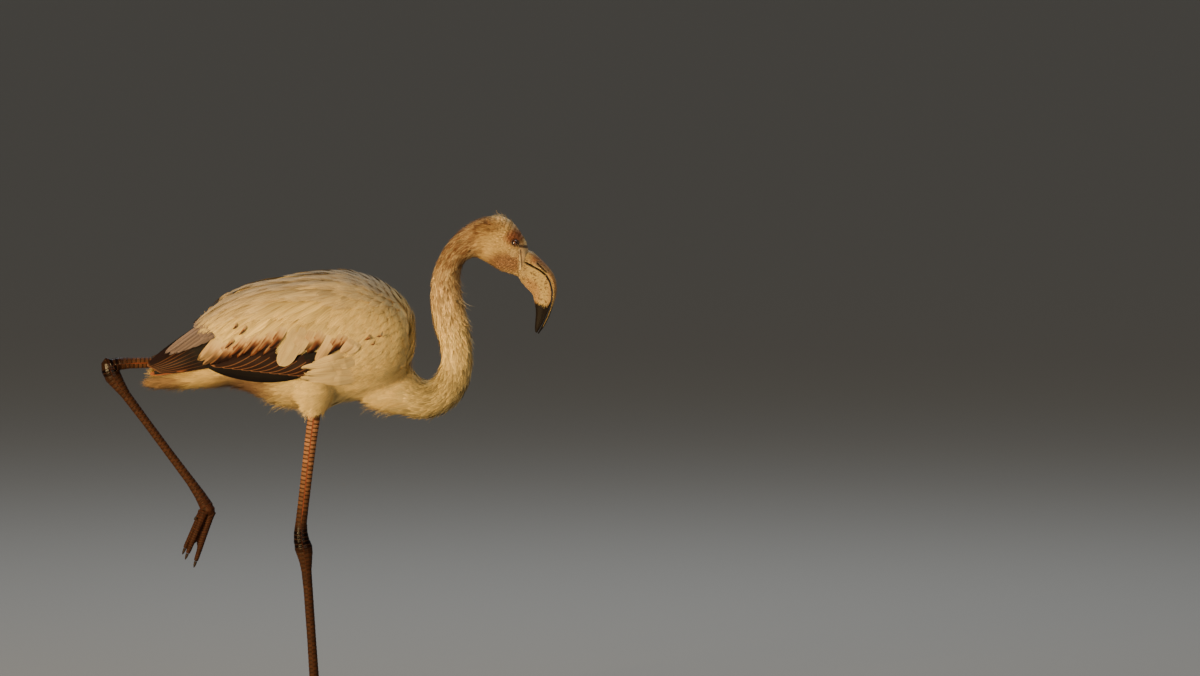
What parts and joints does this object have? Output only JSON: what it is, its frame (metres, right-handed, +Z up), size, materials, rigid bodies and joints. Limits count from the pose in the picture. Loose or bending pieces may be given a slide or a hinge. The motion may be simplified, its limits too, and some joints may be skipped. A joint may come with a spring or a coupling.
{
  "type": "greater flamingo",
  "caption": "Life-size still greater flamingo in pale immature plumage, stepping on its right foot with the left leg lifted behind and the neck bent down.",
  "frame": {"origin": "on the flat sole of the standing right foot, under its middle toe, at floor level", "axes": "+X the way the bird faces, +Y towards its left side, +Z up"},
  "size_m": [0.6854, 0.1774, 0.7594],
  "materials": {
    "plumage": "soft pale feathers",
    "quills": "dark brown flight feathers",
    "neck": "short buff feathers",
    "bill": "pinkish tan horn with a soft shine",
    "horn": "black glossy horn",
    "eye": "wet dark brown",
    "scutes": "damp brown scaly skin"
  },
  "bodies": {
    "root": {"trunk": "plumage", "tail": "plumage", "wing_left": "plumage", "wing_right": "plumage", "thigh_left": "plumage", "thigh_right": "plumage", "head": "plumage", "secondaries_left": "quills", "secondaries_right": "quills", "primaries_left": "quills", "primaries_right": "quills", "neck_base": "neck", "neck_bend": "neck", "neck_rise": "neck", "neck_upper": "neck", "neck_nape": "neck", "eye_left": "eye", "eye_right": "eye", "bill_upper": "bill", "bill_lower": "bill", "bill_upper_tip": "horn", "bill_lower_tip": "horn", "shank_left": "scutes", "tarsus_left": "scutes", "foot_left": "scutes", "claw_inner_left": "horn", "claw_middle_left": "horn", "claw_outer_left": "horn", "claw_hind_left": "horn", "shank_right": "scutes", "tarsus_right": "scutes", "foot_right": "scutes", "claw_inner_right": "horn", "claw_middle_right": "horn", "claw_outer_right": "horn", "claw_hind_right": "horn"}
  },
  "joints": []
}
